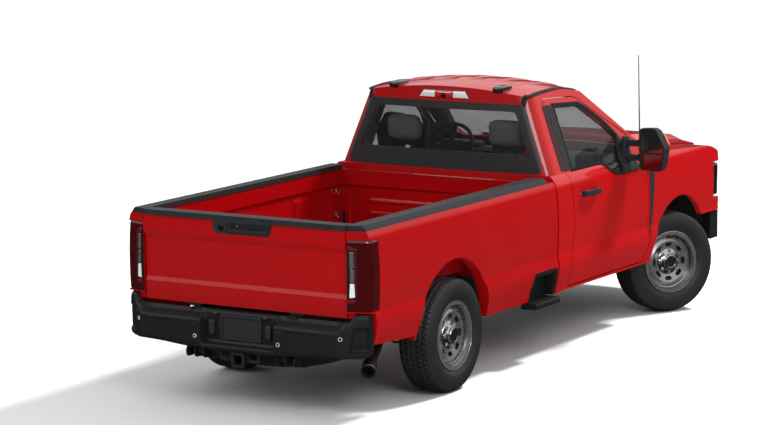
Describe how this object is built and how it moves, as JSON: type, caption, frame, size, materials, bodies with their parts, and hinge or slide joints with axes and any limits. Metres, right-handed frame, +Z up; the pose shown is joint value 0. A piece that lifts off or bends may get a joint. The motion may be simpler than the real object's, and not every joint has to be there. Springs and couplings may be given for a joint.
{
  "type": "pickup truck",
  "caption": "Full-size single-cab pickup truck with a long load box, opening doors, bonnet and tailgate, steering front wheels and a tow receiver.",
  "frame": {"origin": "on the ground, at the middle of the vehicle's overall length and width", "axes": "+X to the vehicle's left, the driver's side; +Y to the rear; +Z up. The front faces -Y."},
  "size_m": [2.668, 5.888, 2.0901],
  "materials": {
    "paint": "gloss",
    "bed_paint": "gloss",
    "grained_black": "matte",
    "gloss_black": "gloss",
    "frame_black": "satin",
    "pane": "gloss",
    "lens_red": "gloss",
    "lens_clear": "gloss",
    "lens_amber": "gloss",
    "wheel_steel": "satin",
    "tyre_rubber": "matte",
    "iron": "matte",
    "steel": "satin",
    "seat_cloth": "matte",
    "cabin_grey": "matte"
  },
  "bodies": {
    "chassis": {"frame": "frame_black", "cab": "paint", "cab_glass": "pane", "roof_lamps": "lens_amber", "cowl": "grained_black", "front_fenders": "paint", "fender_trim": "grained_black", "wheel_liners": "grained_black", "grille": "grained_black", "headlamps": "lens_clear", "front_bumper": "gloss_black", "engine": "iron", "driveline": "iron", "exhaust": "steel", "fuel_tank": "grained_black", "front_axle": "iron", "rear_axle": "iron", "suspension": "frame_black", "box": "bed_paint", "box_steps": "grained_black", "rail_caps": "grained_black", "tail_lamps": "lens_red", "rear_bumper": "gloss_black", "hitch": "frame_black", "seats": "seat_cloth", "dashboard": "cabin_grey", "spare_tyre": "tyre_rubber", "spare_rim": "wheel_steel"},
    "bonnet": {"bonnet": "paint"},
    "tailgate": {"tailgate": "paint", "tailgate_cap": "grained_black"},
    "steering_wheel": {"steering_wheel": "grained_black"},
    "door_left": {"door_left": "paint", "door_glass_left": "pane", "door_trim_left": "grained_black"},
    "knuckle_left": {"knuckle_left": "iron"},
    "wheel_front_left": {"tyre_front_left": "tyre_rubber", "rim_front_left": "wheel_steel"},
    "wheel_rear_left": {"tyre_rear_left": "tyre_rubber", "rim_rear_left": "wheel_steel"},
    "door_right": {"door_right": "paint", "door_glass_right": "pane", "door_trim_right": "grained_black"},
    "knuckle_right": {"knuckle_right": "iron"},
    "wheel_front_right": {"tyre_front_right": "tyre_rubber", "rim_front_right": "wheel_steel"},
    "wheel_rear_right": {"tyre_rear_right": "tyre_rubber", "rim_rear_right": "wheel_steel"}
  },
  "joints": [
    {"name": "steer_left", "type": "hinge", "parent": "chassis", "child": "knuckle_left", "pos_m": [0.82, -1.99, 0.407], "axis": [0, 0, 1], "range_deg": [-6, 66]},
    {"name": "steer_right", "type": "hinge", "parent": "chassis", "child": "knuckle_right", "pos_m": [-0.82, -1.99, 0.407], "axis": [0, 0, 1], "range_deg": [-6, 66]},
    {"name": "steering_wheel_turn", "type": "hinge", "parent": "chassis", "child": "steering_wheel", "pos_m": [0.405, -0.72, 1.395], "axis": [0, 0.8829, 0.4695], "range_deg": [-102, 1122]},
    {"name": "door_left_hinge", "type": "hinge", "parent": "chassis", "child": "door_left", "pos_m": [0.965, -1.44, 0.9], "axis": [0, 0, -1], "range_deg": [0, 65]},
    {"name": "wheel_front_left_spin", "type": "hinge", "parent": "knuckle_left", "child": "wheel_front_left", "pos_m": [0.86114, -2.01375, 0.407], "axis": [0.866, -0.5, 0], "continuous": true},
    {"name": "wheel_rear_left_spin", "type": "hinge", "parent": "chassis", "child": "wheel_rear_left", "pos_m": [0.8535, 1.62, 0.407], "axis": [1, 0, 0], "continuous": true},
    {"name": "door_right_hinge", "type": "hinge", "parent": "chassis", "child": "door_right", "pos_m": [-0.965, -1.44, 0.9], "axis": [0, 0, 1], "range_deg": [0, 65]},
    {"name": "wheel_front_right_spin", "type": "hinge", "parent": "knuckle_right", "child": "wheel_front_right", "pos_m": [-0.86114, -1.96625, 0.407], "axis": [0.866, -0.5, 0], "continuous": true},
    {"name": "wheel_rear_right_spin", "type": "hinge", "parent": "chassis", "child": "wheel_rear_right", "pos_m": [-0.8535, 1.62, 0.407], "axis": [1, 0, 0], "continuous": true},
    {"name": "bonnet_hinge", "type": "hinge", "parent": "chassis", "child": "bonnet", "pos_m": [0, -1.812, 1.29], "axis": [-1, 0, 0], "range_deg": [0, 50]},
    {"name": "tailgate_hinge", "type": "hinge", "parent": "chassis", "child": "tailgate", "pos_m": [0, 2.806, 0.734], "axis": [-1, 0, 0], "range_deg": [0, 90]}
  ],
  "couplings": [
    {"joint": "steer_right", "follows": "steer_left", "ratio": 1},
    {"joint": "steering_wheel_turn", "follows": "steer_left", "ratio": 17}
  ]
}
